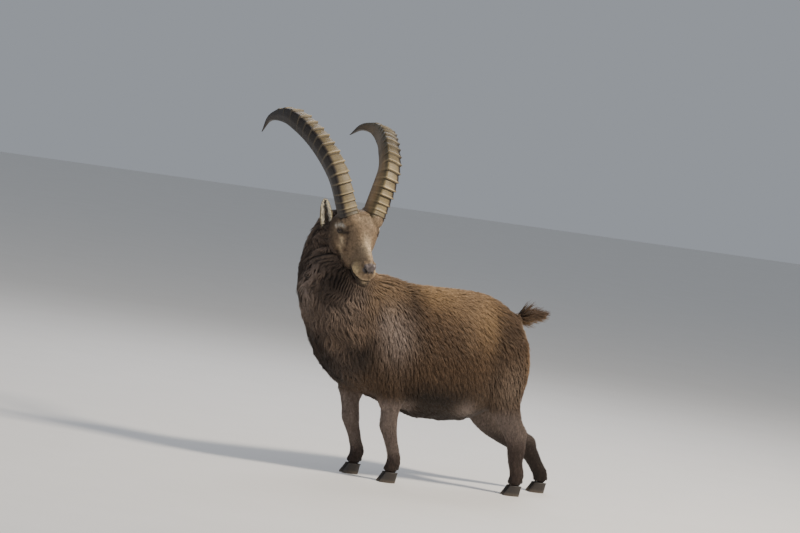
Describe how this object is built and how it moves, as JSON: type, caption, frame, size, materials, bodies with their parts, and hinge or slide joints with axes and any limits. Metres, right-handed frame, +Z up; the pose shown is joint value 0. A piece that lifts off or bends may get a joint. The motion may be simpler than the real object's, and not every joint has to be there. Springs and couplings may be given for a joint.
{
  "type": "alpine ibex",
  "caption": "Alpine ibex buck in winter coat, standing on all fours with its head turned to its left and its horns swept back.",
  "frame": {"origin": "middle of the object's bounding box on the floor plane, under the belly", "axes": "+Z up from the floor through the horns, the buck faces -Y, its left side is +X, and its face looks towards +X"},
  "size_m": [0.8623, 1.4976, 1.5767],
  "materials": {
    "coat": "long winter hair",
    "horn_sheath": "dull ridged horn",
    "hoof": "dull dark horn",
    "eye": "wet, glossy"
  },
  "bodies": {
    "root": {"ear_left": "coat", "ear_right": "coat", "eye_left": "eye", "eye_right": "eye", "foreleg_left": "coat", "foreleg_right": "coat", "head": "coat", "hindleg_left": "coat", "hindleg_right": "coat", "hoof_foreleg_left_inner": "hoof", "hoof_foreleg_left_outer": "hoof", "hoof_foreleg_right_inner": "hoof", "hoof_foreleg_right_outer": "hoof", "hoof_hindleg_left_inner": "hoof", "hoof_hindleg_left_outer": "hoof", "hoof_hindleg_right_inner": "hoof", "hoof_hindleg_right_outer": "hoof", "horn_left": "horn_sheath", "horn_right": "horn_sheath", "neck": "coat", "tail": "coat", "torso": "coat"}
  },
  "joints": []
}
